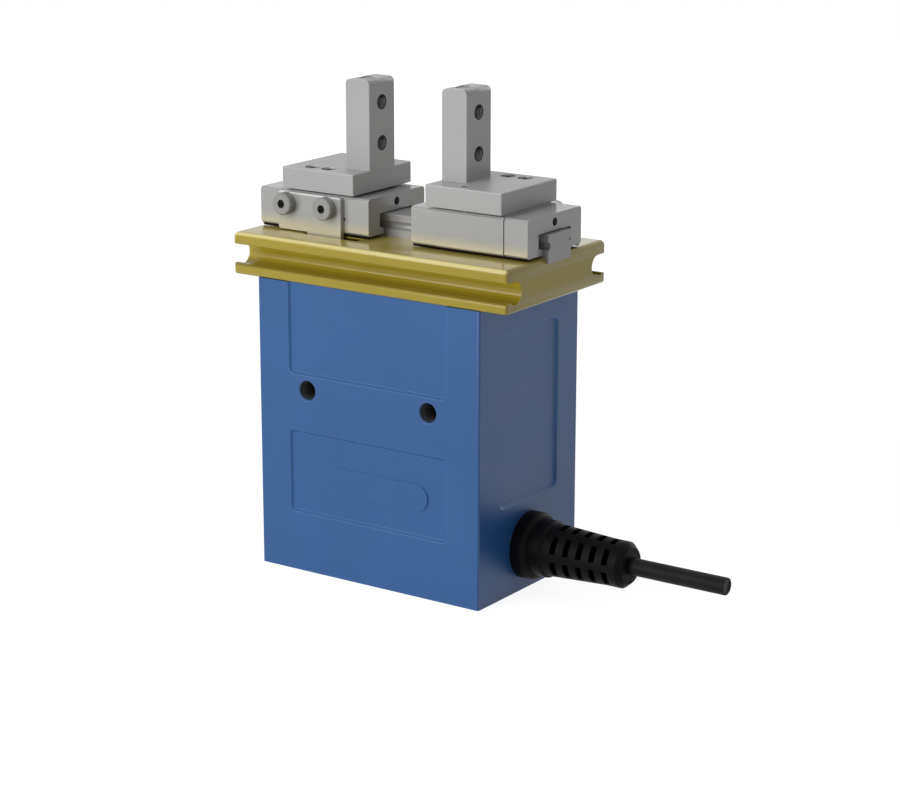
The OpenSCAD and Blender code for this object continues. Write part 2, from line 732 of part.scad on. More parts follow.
module carriage() color(STEEL) difference() {
    union() {
        translate([car_mid, 0, car_z]) along_x(block_l)
            carriage_profile(0, rail_w / 2 + rail_clear);
        translate([car_mid, 0, car_top - 1]) linear_extrude(land_h + 1)
            square([block_l - 2, car_w - 6], center = true);
    }
    for (p = finger_screws_at) translate([p[0], p[1], car_top - 5])
        cylinder(d = M3[4], h = 5 + land_h + eps);
    for (p = finger_pins_at) translate([p[0], p[1], base_z - 4]) cylinder(d = pin_d, h = 4 + eps);
    for (x = bracket_screw_x) translate([x, car_w / 2 + eps, bracket_screw_z])
        rotate([90, 0, 0]) cylinder(d = M5[4], h = 7 + eps);
    translate([bracket_x0 - side_hole_d / 2, car_w / 2 + eps, car_z + 5.7])
        rotate([90, 0, 0]) cylinder(d = side_hole_d, h = 2 + eps);
}

// End cap: a window round the rail and a grease hole in its outer face; face is -1 or 1
module end_cap(x, face) color(STEEL) difference() {
    translate([x, 0, car_z]) {
        translate([face * cap_joint / 2, 0, 0]) along_x(cap_l - cap_joint)
            carriage_profile(0.1, rail_w / 2 + rail_clear + 0.2);
        along_x(cap_l) carriage_profile(1, rail_w / 2 + rail_clear + 0.2);
    }
    translate([x + face * cap_l / 2, 0, (rail_top + rail_clear + window_z) / 2])
        cube([2 * window_depth, window_w, rail_top + rail_clear - window_z], center = true);
    translate([x + face * cap_l / 2, 0, car_z + 11]) rotate([0, 90, 0])
        cylinder(d = grease_d, h = 8, center = true);
}

module outer_cap() { end_cap(car_x1 - cap_l / 2, 1); }
module inner_cap() { end_cap(car_x0 + cap_l / 2, -1); }

module ball_rows() color(STEEL) {
    count = floor((block_l - 2) / (ball_d + 0.4));
    for (side = [-1, 1], i = [0:count - 1])
        translate([car_mid + (i - (count - 1) / 2) * (ball_d + 0.4), side * ball_y, ball_z])
            sphere(d = ball_d, $fn = 24);
}

// ---------- fingers ----------

module finger() color(STEEL) difference() {
    union() {
        translate([base_mid, 0, base_z]) chamfer_block([base_l, base_w, base_t], 0.3);
        intersection() {
            translate([finger_mid, 0, (base_z + finger_top) / 2 + 0.5])
                along_y(finger_w) round_rect([finger_t, finger_top - base_z - 1], finger_round);
            translate([finger_mid, 0, base_z + 1]) linear_extrude(finger_top)
                cut_rect([finger_t, finger_w], 0.3);
        }
    }
    for (i = [0, 1]) translate([finger_mid, 0, first_hole_z + i * finger_hole_gap])
        rotate([0, 90, 0]) {
            cylinder(d = finger_hole_d, h = finger_t + 2 * eps, center = true);
            for (side = [0, 180]) rotate([side, 0, 0]) translate([0, 0, finger_t / 2 - 0.5])
                cylinder(d1 = finger_hole_d, d2 = finger_hole_d + 2 * (0.5 + eps), h = 0.5 + eps);
        }
    translate([finger_mid, 0, finger_top - 0.8]) cylinder(d = 9, h = 0.8 + eps);
    for (p = finger_screws_at) {
        translate([p[0], p[1], base_z - eps]) cylinder(d = M3[0] + screw_clear, h = base_t + 2 * eps);
        translate([p[0], p[1], base_top - M3[2] - 0.4])
            cylinder(d = M3[1] + head_clear, h = M3[2] + 0.4 + eps);
    }
    translate([finger_pins_at[0][0], finger_pins_at[0][1], base_z - eps])
        cylinder(d = pin_d, h = base_t + 2 * eps);
    translate([finger_pins_at[1][0], finger_pins_at[1][1], base_z - eps])
        cylinder(d = pin_d, h = 4 + eps);
}

module finger_screw() color(STEEL) for (p = finger_screws_at)
    translate([p[0], p[1], base_top - M3[2] - 0.4]) socket_screw(M3, finger_screw_l);

module finger_pins() color(STEEL) for (p = finger_pins_at)
    translate([p[0], p[1], base_z - 3.8]) cylinder(d = pin_d, h = 7.6);

// ---------- control board ----------

module board_plane() translate([board_x, 0, (board_z[0] + board_z[1]) / 2]) children();

module control_board() color(GREEN) difference() {
    board_plane() translate([board_t / 2, 0, 0])
        cube([board_t, board_w, board_z[1] - board_z[0]], center = true);
    for (sy = [-1, 1], sz = [-1, 1]) board_plane()
        translate([-eps, sy * board_hole[0] / 2, sz * board_hole[1] / 2])
            rotate([0, 90, 0]) cylinder(d = 3.2, h = board_t + 2 * eps);
}

module board_standoffs() color(BRASS) for (sy = [-1, 1], sz = [-1, 1])
    board_plane() translate([-board_gap, sy * board_hole[0] / 2, sz * board_hole[1] / 2])
        rotate([0, 90, 0]) {
            cylinder(d = 6, h = board_gap, $fn = 6);
            cylinder(d = 3, h = board_gap + board_t);
            translate([0, 0, board_gap + board_t]) cylinder(d = 5.5, h = 2);
        }

module board_parts() color(DARK) board_plane() translate([board_t, 0, 0]) {
    for (i = [0:2]) translate([0, -12 + i * 12, 22]) rotate([0, 90, 0]) cylinder(d = 8, h = 10);
    translate([0, -7, -6]) cube([1.8, 14, 14]);
    translate([0, -14, -37]) cube([8, 28, 7]);
    for (i = [0:3]) translate([0, -15 + i * 8, 8]) cube([1.5, 5, 6]);
}

// ---------- cable and gland ----------

module cable_gland() color(DARK) difference() {
    translate([body_w / 2 - wall - locknut_t - 1.5, 0, cable_z]) rotate([0, 90, 0]) rotate_extrude()
        polygon(concat(
            [[0, 0], [gland_shank_d / 2, 0], [gland_shank_d / 2, wall + locknut_t + 1.5]],
            [[gland_d / 2, wall + locknut_t + 1.5]],
            [for (a = [0:15:90]) [
                gland_d / 2 - gland_flange_r + gland_flange_r * cos(a),
                wall + locknut_t + 1.5 + gland_flange_t - gland_flange_r + gland_flange_r * sin(a)
            ]],
            [[0, wall + locknut_t + 1.5 + gland_flange_t]]
        ));
    translate([0, 0, cable_z]) rotate([0, 90, 0])
        cylinder(d = cable_d + 2 * running, h = body_w);
}

module gland_locknut() color(DARK)
    translate([body_w / 2 - wall - locknut_t, 0, cable_z]) rotate([0, 90, 0]) difference() {
        cylinder(d = locknut_af / cos(30), h = locknut_t, $fn = 6);
        translate([0, 0, -eps]) cylinder(d = gland_shank_d, h = locknut_t + 2 * eps);
    }

// Boot: base collar, taper with slots on six sides down to a core sleeve, end collar
module strain_relief() color(DARK) difference() {
    translate([boot_x0, 0, cable_z]) rotate([0, 90, 0]) rotate_extrude() polygon([
        [0, 0], [boot_base_d / 2, 0], [boot_base_d / 2, 4.6], [boot_base_d / 2 - 0.8, 5.6],
        [boot_tip_d / 2 + 0.5, boot_l - 8.2], [boot_tip_d / 2 + 0.5, boot_l - 2.2],
        [boot_tip_d / 2 - 1.4, boot_l], [0, boot_l]
    ]);
    for (row = [0:slot_rows - 1], i = [0:slot_count - 1])
        translate([slot_first + row * slot_step, 0, cable_z])
            rotate([i * 360 / slot_count + 30 - slot_angle / 2, 0, 0])
                rotate([0, 90, 0]) rotate([0, 0, 90])
                    rotate_extrude(angle = slot_angle)
                        translate([boot_core_d / 2, -slot_w / 2]) square([10, slot_w]);
    translate([0, 0, cable_z]) rotate([0, 90, 0])
        cylinder(d = cable_d + 2 * running, h = boot_x1 + eps);
}

module inner_cable() color(DARK) translate([inner_cable_x, 0, cable_z]) rotate([0, 90, 0])
    cylinder(d = cable_d, h = boot_x1 - inner_cable_x, $fn = 32);

// Straight cable swept along its route as rings of points
module cable() color(DARK) {
    rings = len(cable_route);
    points = [for (p = cable_route) for (k = [0:cable_sides - 1])
        let (a = k * 360 / cable_sides)
        p + [0, cable_d / 2 * cos(a), cable_d / 2 * sin(a)]];
    walls = [for (r = [0:rings - 2]) for (k = [0:cable_sides - 1])
        let (a = r * cable_sides + k, b = r * cable_sides + (k + 1) % cable_sides)
        [a, a + cable_sides, b + cable_sides, b]];
    start = [for (k = [0:cable_sides - 1]) k];
    finish = [for (k = [cable_sides - 1:-1:0]) (rings - 1) * cable_sides + k];
    polyhedron(points = points, faces = concat([start], walls, [finish]));
}

// ---------- pieces of each jaw ----------

module left_carriage() { left_side() carriage(); }
module left_outer_cap() { left_side() outer_cap(); }
module left_inner_cap() { left_side() inner_cap(); }
module left_ball_rows() { left_side() ball_rows(); }
module left_finger() { left_side() finger(); }
module left_finger_screw() { left_side() finger_screw(); }
module left_finger_pins() { left_side() finger_pins(); }
module left_bracket() { left_side() drive_bracket(); }
module left_bracket_screw_1() { left_side() bracket_screw(0); }
module left_bracket_screw_2() { left_side() bracket_screw(1); }
module left_rack() { left_side() drive_rack(); }
module left_rack_screws() { left_side() rack_screws(); }
module right_carriage() { carriage(); }
module right_outer_cap() { outer_cap(); }
module right_inner_cap() { inner_cap(); }
module right_ball_rows() { ball_rows(); }
module right_finger() { finger(); }
module right_finger_screw() { finger_screw(); }
module right_finger_pins() { finger_pins(); }
module right_bracket() { drive_bracket(); }
module right_bracket_screw_1() { bracket_screw(0); }
module right_bracket_screw_2() { bracket_screw(1); }
module right_rack() { drive_rack(); }
module right_rack_screws() { rack_screws(); }

housing();
bottom_cover();
cover_screw_1();
cover_screw_2();
cover_screw_3();
cover_screw_4();
guide_plate();
deck_screws();
guide_rail();
rail_screws();
gearbox();
gearbox_screws();
motor_front_bell();
motor_stator();
motor_rear_bell();
encoder_cover();
control_board();
board_standoffs();
board_parts();
bearing_outer();
bearing_balls();
shaft_bush();
cable_gland();
gland_locknut();
strain_relief();
inner_cable();
cable();
output_shaft();
pinion();
bearing_inner();
shaft_key();
left_carriage();
left_outer_cap();
left_inner_cap();
left_ball_rows();
left_finger();
left_finger_screw();
left_finger_pins();
left_bracket();
left_bracket_screw_1();
left_bracket_screw_2();
left_rack();
left_rack_screws();
right_carriage();
right_outer_cap();
right_inner_cap();
right_ball_rows();
right_finger();
right_finger_screw();
right_finger_pins();
right_bracket();
right_bracket_screw_1();
right_bracket_screw_2();
right_rack();
right_rack_screws();
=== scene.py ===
"""Electric two finger gripper: camera, cable, surface detail, materials, light and floor.

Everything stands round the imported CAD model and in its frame. Blender lengths are metres.
"""

import math

import bmesh
import bpy
from mathutils import Matrix, Vector


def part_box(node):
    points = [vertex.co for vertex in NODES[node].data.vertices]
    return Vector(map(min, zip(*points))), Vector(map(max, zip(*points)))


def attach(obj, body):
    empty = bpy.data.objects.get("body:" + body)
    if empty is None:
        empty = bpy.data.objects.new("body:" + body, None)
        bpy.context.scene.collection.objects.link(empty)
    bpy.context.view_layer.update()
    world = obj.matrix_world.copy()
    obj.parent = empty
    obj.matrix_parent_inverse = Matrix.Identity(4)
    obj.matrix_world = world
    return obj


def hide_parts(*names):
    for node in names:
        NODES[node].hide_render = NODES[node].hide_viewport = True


MM = 0.001
JAWS = ((-1, "left"), (1, "right"))  # each jaw's side along X and its name

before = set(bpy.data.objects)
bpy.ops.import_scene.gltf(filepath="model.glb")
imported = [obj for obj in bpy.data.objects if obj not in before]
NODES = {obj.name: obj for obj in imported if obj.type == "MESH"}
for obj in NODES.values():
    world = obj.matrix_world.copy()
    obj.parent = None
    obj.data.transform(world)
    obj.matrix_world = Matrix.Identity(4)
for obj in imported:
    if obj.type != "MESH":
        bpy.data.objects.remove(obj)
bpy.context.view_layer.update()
scene = bpy.context.scene


# ---------- camera ----------

SENSOR_WIDTH = 36
LENS = 101.024
CAMERA_PLACE = (0.53383, -0.75345, 0.31657)
CAMERA_AXES = (  # the camera's right, up and backward directions
    (0.82328, 0.56764, 0.00059),
    (-0.15105, 0.21809, 0.96417),
    (0.54717, -0.79388, 0.26529),
)

cam_data = bpy.data.cameras.new("camera")
cam_data.sensor_width = SENSOR_WIDTH
cam_data.lens = LENS
cam_data.clip_start = 0.05
cam_data.clip_end = 60
camera = bpy.data.objects.new("camera", cam_data)
scene.collection.objects.link(camera)
turn = Matrix(CAMERA_AXES).transposed().to_4x4()
camera.matrix_world = Matrix.Translation(CAMERA_PLACE) @ turn
scene.camera = camera


# ---------- meshes ----------

WELD_GAP = 0.000002
SHARP = math.radians(28)  # edges that turn by more than this are sharp
FLAT = math.radians(0.6)  # faces that turn by less than this are one face


def mesh_object(name, bm, smooth=True):
    """Turns a bmesh into an object in the row frame."""
    mesh = bpy.data.meshes.new(name)
    bm.normal_update()
    bm.to_mesh(mesh)
    bm.free()
    if smooth:
        mesh.shade_smooth()
    obj = bpy.data.objects.new(name, mesh)
    scene.collection.objects.link(obj)
    return obj


def directions(axis):
    """Unit vectors along an axis and two ways across it."""
    along = Vector(axis).normalized()
    side = along.orthogonal().normalized()
    return along, side, along.cross(side)


def bridge(bm, one, two):
    """Joins two closed loops of the same length, or a loop and a single corner, with faces."""
    count = max(len(one), len(two))
    for k in range(count):
        n = (k + 1) % count
        if len(one) == 1:
            bm.faces.new((one[0], two[n], two[k]))
        elif len(two) == 1:
            bm.faces.new((one[k], one[n], two[0]))
        else:
            bm.faces.new((one[k], one[n], two[n], two[k]))


def turned(name, profile, origin, axis, sides):
    """Revolves (distance along the axis, radius) pairs round the axis through origin."""
    along, side, other = directions(axis)
    bm = bmesh.new()
    rings = []
    for distance, radius in profile:
        centre = Vector(origin) + along * distance
        if radius == 0:
            rings.append([bm.verts.new(centre)])
            continue
        rings.append([
            bm.verts.new(centre + radius * (side * math.cos(a) + other * math.sin(a)))
            for a in (2 * math.pi * k / sides for k in range(sides))
        ])
    for one, two in zip(rings, rings[1:]):
        bridge(bm, one, two)
    return mesh_object(name, bm)


def threads(name, origin, axis, length, root, crest, pitch, sides=48):
    """Inner thread as one helical ridge between two radii, its crest towards the axis."""
    along, side, other = directions(axis)
    rows = 2 * int(length / pitch) + 1
    bm = bmesh.new()
    grid = []
    for i in range(rows):
        radius = root if i % 2 == 0 else crest
        row = []
        for k in range(sides):
            a = 2 * math.pi * k / sides
            distance = pitch * (i / 2 + k / sides)
            row.append(bm.verts.new(
                Vector(origin) + along * distance
                + radius * (side * math.cos(a) + other * math.sin(a))
            ))
        grid.append(row)
    for i in range(rows - 1):
        for k in range(sides - 1):
            bm.faces.new((grid[i][k], grid[i][k + 1], grid[i + 1][k + 1], grid[i + 1][k]))
        if i + 3 < rows:  # the last face of a turn leads to the next turn
            bm.faces.new((grid[i][-1], grid[i + 2][0], grid[i + 3][0], grid[i + 1][-1]))
    return mesh_object(name, bm, smooth=False)


def pillow(name, low, high, plan, top, foot, steps=7):
    """Closed box between two corners with its upright, upper and lower edges rounded.

    The radii are plan, top and foot; the upright edges keep a little radius at both ends.
    """
    least = 0.1 * MM
    levels = []
    for k in range(steps):
        t = math.pi / 2 * k / (steps - 1)
        levels.append((low[2] + foot * (1 - math.cos(t)), foot * (1 - math.sin(t))))
    for k in range(steps):
        t = math.pi / 2 * k / (steps - 1)
        levels.append((high[2] - top * (1 - math.sin(t)), top * (1 - math.cos(t))))
    corners = ((high[0], high[1]), (low[0], high[1]), (low[0], low[1]), (high[0], low[1]))
    bm = bmesh.new()
    rings = []
    for z, inset in levels:
        radius = max(plan - inset, least)
        ring = []
        for quarter, (x, y) in enumerate(corners):
            cx = x - math.copysign(inset + radius, x)
            cy = y - math.copysign(inset + radius, y)
            for k in range(steps):
                t = math.pi / 2 * (quarter + k / (steps - 1))
                ring.append(bm.verts.new((cx + radius * math.cos(t), cy + radius * math.sin(t), z)))
        rings.append(ring)
    for one, two in zip(rings, rings[1:]):
        bridge(bm, one, two)
    bm.faces.new(rings[0][::-1])
    bm.faces.new(rings[-1])
    return mesh_object(name, bm)


def prism(name, outline, start, end):
    """Closed bar along X with an outline of (y, z) points."""
    bm = bmesh.new()
    near = [bm.verts.new((start, y, z)) for y, z in outline]
    far = [bm.verts.new((end, y, z)) for y, z in outline]
    bridge(bm, near, far)
    bm.faces.new(near[::-1])
    bm.faces.new(far)
    bmesh.ops.recalc_face_normals(bm, faces=bm.faces)
    return mesh_object(name, bm)


def lip_cutter(name, y, z, radius, reach, steps=7):
    """Bar along X, from -reach to reach, that rounds the upper edge of the lip at y and z."""
    side = math.copysign(1, y)
    spare = 0.4 * MM
    outline = [(y - side * radius, z + spare)]
    for k in range(steps + 1):
        t = math.pi / 2 * k / steps
        outline.append((
            y - side * radius * (1 - math.sin(t)),
            z - radius * (1 - math.cos(t)),
        ))
    outline += [(y + side * spare, z - radius), (y + side * spare, z + spare)]
    return prism(name, outline, -reach, reach)


def carved(name, source, keep, cuts):
    """New piece: the part of a CAD node's shape outside the cuts and inside keep.

    The cutting meshes are deleted. The cuts come first, which leaves a closed mesh.
    """
    piece = bpy.data.objects.new(name, source.data.copy())
    scene.collection.objects.link(piece)
    weld = piece.modifiers.new("weld", "WELD")
    weld.merge_threshold = WELD_GAP
    for operation, helper in [("DIFFERENCE", cut) for cut in cuts] + [("INTERSECT", keep)]:
        step = piece.modifiers.new("carve", "BOOLEAN")
        step.operation = operation
        step.solver = "EXACT"
        step.object = helper
    graph = bpy.context.evaluated_depsgraph_get()
    mesh = bpy.data.meshes.new_from_object(piece.evaluated_get(graph))
    piece.modifiers.clear()
    piece.data = mesh
    if "custom_normal" in mesh.attributes:
        mesh.attributes.remove(mesh.attributes["custom_normal"])
    mesh.shade_smooth()
    mesh.set_sharp_from_angle(angle=SHARP)
    for helper in [keep, *cuts]:
        bpy.data.objects.remove(helper)
    return piece


# ---------- cable ----------

CABLE_R = 3.25 * MM
CABLE_Z = 16.8 * MM
CABLE_X0 = 94.6 * MM
CABLE_X1 = 134.1 * MM
CABLE_STEPS = 18
CABLE_SIDES = 64
END_ROLL = 0.35 * MM  # rounding of the jacket's cut edge
CORE_R = 2.3 * MM  # the cut core lies a little below the jacket's end
CORE_DEPTH = 0.12 * MM
cable_path = [
    (CABLE_X0 + (CABLE_X1 - CABLE_X0) * i / CABLE_STEPS, 0, CABLE_Z)
    for i in range(CABLE_STEPS + 1)
]


def cable_piece():
    """Straight round cable with a rolled edge and a bare cut end."""
    profile = [(0, 0)] + [(x - CABLE_X0, CABLE_R) for x, _, _ in cable_path[:-1]]
    end = CABLE_X1 - CABLE_X0
    for degrees in (0, 18, 36, 54, 72, 90):
        t = math.radians(degrees)
        profile.append((
            end - END_ROLL + END_ROLL * math.sin(t),
            CABLE_R - END_ROLL + END_ROLL * math.cos(t),
        ))
    profile += [(end, CORE_R + 0.05 * MM), (end - CORE_DEPTH, CORE_R), (end - CORE_DEPTH, 0)]
    return turned("cable_run", profile, (CABLE_X0, 0, CABLE_Z), (1, 0, 0), CABLE_SIDES)


cable = cable_piece()
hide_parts("cable")
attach(cable, "base")


# ---------- places on the CAD part ----------

# Holes and screws, in millimetres either side of the middle.
MOUNT_X, MOUNT_Z = 27.5, 71.4
FINGER_X = 21.7
FINGER_HOLES = {"lower": 161.4, "upper": 176.7}
PIN_X, PIN_Y = 30.9, 14
GREASE_HOLE_Z = 140.2
BRACKET_SCREWS_X = (27.35, 46.15)
BRACKET_SCREW_Z = 138.7

plate_low, plate_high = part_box("guide_plate")
PLATE_TOP_R = 1.9 * MM
GROOVE_LOW = plate_low[2] + 4.2 * MM
GROOVE_HIGH = GROOVE_LOW + 7.2 * MM
CORE_X, CORE_Y = 59 * MM, 22.6 * MM  # the plate's slots and drive pocket lie inside these
cap_low, cap_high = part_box("right_inner_cap")


# ---------- material tools ----------

HOLE_FEATHER = 0.12 * MM


def srgb(r, g, b):
    """An sRGB colour from 0 to 255 as the linear colour that a shader takes."""
    def linear(c):
        c /= 255
        return c / 12.92 if c <= 0.04045 else ((c + 0.055) / 1.055) ** 2.4
    return (linear(r), linear(g), linear(b), 1)


def grey(level):
    """A neutral sRGB colour from 0 to 255."""
    return srgb(level, level, level)


HOLE_SHADE = srgb(9, 9, 10)  # painted shade in the depth of a small hole
PLATE_REFLECTION = srgb(205, 198, 168)  # painted reflection of the plate in the metal above it


class Finish:
    """A Principled material whose colour, roughness and bump come from noise in the row frame."""

    def __init__(self, name, metallic=0.0, specular=0.5, coat=0.0):
        self.mat = bpy.data.materials.new(name)
        self.mat.use_nodes = True
        self.tree = self.mat.node_tree
        self.bsdf = next(n for n in self.tree.nodes if n.type == "BSDF_PRINCIPLED")
        self.bsdf.inputs["Metallic"].default_value = metallic
        self.bsdf.inputs["Specular IOR Level"].default_value = specular
        self.bsdf.inputs["Coat Weight"].default_value = coat
        self.bsdf.inputs["Coat Roughness"].default_value = 0.12
        self.coords = self.node("ShaderNodeTexCoord").outputs["Object"]
        self.normal = None

    def node(self, kind, **settings):
        """A new node with some of its settings."""
        n = self.tree.nodes.new(kind)
        for key, value in settings.items():
            setattr(n, key, value)
        return n

    def link(self, a, b):
        """Joins an output to an input."""
        self.tree.links.new(a, b)

    def noise(self, scale, detail, rough=0.5, stretch=(1, 1, 1)):
        """Noise from 0 to 1, `scale` features to the metre; small stretch numbers lengthen them."""
        mapping = self.node("ShaderNodeMapping")
        mapping.inputs["Scale"].default_value = stretch
        self.link(self.coords, mapping.inputs["Vector"])
        tex = self.node("ShaderNodeTexNoise")
        tex.inputs["Scale"].default_value = scale
        tex.inputs["Detail"].default_value = detail
        tex.inputs["Roughness"].default_value = rough
        self.link(mapping.outputs["Vector"], tex.inputs["Vector"])
        return tex.outputs["Fac"]

    def span(self, value, low, high, start=0.3, end=0.7):
        """Maps a value from start..end to low..high."""
        n = self.node("ShaderNodeMapRange")
        n.inputs["From Min"].default_value = start
        n.inputs["From Max"].default_value = end
        n.inputs["To Min"].default_value = low
        n.inputs["To Max"].default_value = high
        self.link(value, n.inputs["Value"])
        return n.outputs["Result"]

    def mix(self, fac, a, b):
        """Mixes two colours, each a tuple or a socket."""
        n = self.node("ShaderNodeMix", data_type="RGBA")
        if isinstance(fac, float):
            n.inputs["Factor"].default_value = fac
        else:
            self.link(fac, n.inputs["Factor"])
        for key, value in (("A", a), ("B", b)):
            socket = [s for s in n.inputs if s.name == key and s.type == "RGBA"][0]
            if isinstance(value, tuple):
                socket.default_value = value
            else:
                self.link(value, socket)
        return [s for s in n.outputs if s.type == "RGBA"][0]

    def colour(self, socket):
        """Sets the base colour."""
        self.link(socket, self.bsdf.inputs["Base Color"])

    def roughness(self, socket):
        """Sets the roughness."""
        self.link(socket, self.bsdf.inputs["Roughness"])

    def place(self, axis):
        """One coordinate of the row frame in metres."""
        n = self.node("ShaderNodeSeparateXYZ")
        self.link(self.coords, n.inputs["Vector"])
        return n.outputs[axis]

    def maths(self, operation, a, b=None):
        """Result of a maths node on sockets or numbers."""
        n = self.node("ShaderNodeMath", operation=operation)
        for socket, value in zip(n.inputs, (a, b)):
            if isinstance(value, (int, float)):
                socket.default_value = value
            elif value is not None:
                self.link(value, socket)
        return n.outputs[0]

    def product(self, first, *others):
        """Product of masks, or of masks and numbers."""
        for other in others:
            first = self.maths("MULTIPLY", first, other)
        return first

    def squares(self, a, b):
        """Sum of two squares."""
        return self.maths("ADD", self.maths("MULTIPLY", a, a), self.maths("MULTIPLY", b, b))

    def bore(self, first, second, spots, radius):
        """Mask that is 1 inside round holes, on both sides of the middle planes.

        first and second name the axes across the holes; spots and radius are millimetres.
        """
        nearest = None
        for one, two in spots:
            da = self.maths("SUBTRACT", self.maths("ABSOLUTE", self.place(first)), one * MM)
            db = self.maths("SUBTRACT", self.maths("ABSOLUTE", self.place(second)), two * MM)
            square = self.squares(da, db)
            nearest = square if nearest is None else self.maths("MINIMUM", nearest, square)
        away = self.maths("SQRT", nearest)
        return self.span(away, 1, 0, radius * MM - HOLE_FEATHER, radius * MM + HOLE_FEATHER)

    def tint(self, mask, tone):
        """Takes the colour to a tone where the mask is 1."""
        base = self.bsdf.inputs["Base Color"].links[0].from_socket
        self.colour(self.mix(mask, base, tone))

    def bump(self, height, distance, strength):
        """Adds a bump, `distance` metres high, on top of those already made."""
        n = self.node("ShaderNodeBump")
        n.inputs["Distance"].default_value = distance
        n.inputs["Strength"].default_value = strength
        self.link(height, n.inputs["Height"])
        if self.normal is not None:
            self.link(self.normal, n.inputs["Normal"])
        self.normal = n.outputs["Normal"]
        self.link(self.normal, self.bsdf.inputs["Normal"])


def coat(name, dark, light, rough, height=0.02, layer=0.0, specular=0.5):
    """Satin coat over metal: soft mottling, orange peel `height` millimetres high, fine grain.

    `layer` is the weight of a clear layer on top.
    """
    f = Finish(name, specular=specular, coat=layer)
    clouds = f.span(f.noise(22, 3), 0, 1)
    fine = f.span(f.noise(900, 2), 0, 1)
    base = f.mix(clouds, dark, light)
    speck = f.mix(fine, tuple(0.93 * c for c in dark[:3]) + (1,), light)
    f.colour(f.mix(0.3, base, speck))
    f.roughness(f.span(f.noise(60, 4), rough - 0.03, rough + 0.04))
    f.bump(f.noise(420, 2), height * MM, 0.5)
    f.bump(f.noise(2600, 2), 0.6 * height * MM, 0.35)
    return f


def metal(name, dark, light, rough, metallic, along=(1, 1, 1), grain=2200, height=0.003,
          marks=0.4):
    """Ground or blasted metal.

    `along` stretches the grain, `height` is its depth in millimetres and `marks` how much of
    the colour follows it.
    """
    f = Finish(name, metallic=metallic)
    grit = f.noise(grain, 3, 0.6, along)
    clouds = f.mix(f.span(f.noise(35, 3), 0, 1), dark, light)
    f.colour(f.mix(marks, clouds, f.mix(f.span(grit, 0, 1), dark, light)))
    f.roughness(f.span(f.noise(grain * 0.5, 3, 0.6, along), rough - 0.03, rough + 0.05))
    f.bump(grit, height * MM, 0.6)
    return f


def rubber(name, tone, rough=0.5, grain=3000, specular=0.06):
    """Black moulded rubber or plastic: fine matt grain, slightly uneven sheen."""
    f = Finish(name, specular=specular)
    light = tuple(min(1, 1.5 * c + 0.002) for c in tone[:3]) + (1,)
    f.colour(f.mix(f.span(f.noise(240, 4), 0, 1), tone, light))
    f.roughness(f.span(f.noise(130, 3), rough - 0.08, rough + 0.08))
    f.bump(f.noise(grain, 2), 0.015 * MM, 0.6)
    f.bump(f.noise(400, 2), 0.02 * MM, 0.4)
    return f


def paint_plate_reflection(f, foot, rise, half):
    """Painted reflection of the plate: a warm tint in the side faces, beyond |y| = half.

    It is full at the height foot and gone a rise above it.
    """
    low = f.span(f.place("Z"), 1, 0, foot, foot + rise)
    side = f.span(f.maths("ABSOLUTE", f.place("Y")), 0, 1, half - 0.2 * MM, half)
    f.tint(f.product(low, side), PLATE_REFLECTION)


def knurl(f, x, z, inner, teeth):
    """Fine straight teeth on the rim of a screw head whose axis runs along Y through x and z."""
    across = f.maths("SUBTRACT", f.maths("ABSOLUTE", f.place("X")), x)
    up = f.maths("SUBTRACT", f.place("Z"), z)
    wave = f.maths("SINE", f.maths("MULTIPLY", f.maths("ARCTAN2", up, across), teeth))
    away = f.maths("SQRT", f.squares(across, up))
    f.bump(f.product(wave, f.span(away, 0, 1, inner, inner + 0.1 * MM)), 0.12 * MM, 0.8)


def shade_plate(f, low, high):
    """Guide plate: painted sheen on the top, painted edge highlight, painted shade and bounce light
    in a rougher groove, painted shade in cavities.
    """
    depth = f.maths("ABSOLUTE", f.place("Y"))
    height = f.place("Z")
    length = f.maths("ABSOLUTE", f.place("X"))

    # painted sheen: the top face is lighter and paler
    f.tint(f.span(height, 0, 1, high[2] - 0.4 * MM, high[2] - 0.1 * MM), srgb(184, 168, 86))
    # painted highlight along the rounded top edges, front and back
    outward = f.span(depth, 0, 1, high[1] - PLATE_TOP_R, high[1])
    upward = f.span(height, 0, 1, high[2] - PLATE_TOP_R, high[2])
    painted_edge_highlight = f.span(f.maths("MINIMUM", outward, upward), 0, 1, 0.2, 0.6)
    f.tint(painted_edge_highlight, srgb(240, 226, 150))

    inside = f.span(depth, 1, 0, high[1] - 0.5 * MM, high[1] - 0.1 * MM)
    within = f.span(length, 1, 0, high[0] - 0.3 * MM, high[0] - 0.1 * MM)
    hollow = f.product(inside, within)
    # painted shade: the groove's floor is darker
    corner = f.span(height, 1, 0, GROOVE_LOW - 0.1 * MM, GROOVE_LOW + 1.2 * MM)
    f.tint(f.product(corner, hollow, 0.5), srgb(104, 88, 22))
    # painted bounce light: the groove's upper part, under the upper lip, is lighter
    rising = f.span(height, 0, 1, GROOVE_HIGH - 3.6 * MM, GROOVE_HIGH - 1.6 * MM)
    falling = f.span(height, 1, 0, GROOVE_HIGH + 0.2 * MM, GROOVE_HIGH + 0.9 * MM)
    f.tint(f.product(rising, falling, hollow), srgb(208, 190, 56))

    # painted shade in the slots and drive pocket, below the top face
    f.tint(f.product(
        f.span(depth, 1, 0, CORE_Y, CORE_Y + 0.2 * MM),
        f.span(length, 1, 0, CORE_X, CORE_X + 1 * MM),
        f.span(height, 1, 0, high[2] - 0.5 * MM, high[2] - 0.2 * MM),
    ), srgb(62, 52, 20))

    off_middle = f.maths("ABSOLUTE", f.maths("SUBTRACT", height, (GROOVE_LOW + GROOVE_HIGH) / 2))
    groove = f.span(off_middle, 0.4, 0, 3.4 * MM, 3.7 * MM)
    gloss = f.bsdf.inputs["Roughness"].links[0].from_socket
    f.roughness(f.maths("ADD", gloss, f.product(groove, inside)))


# ---------- materials ----------

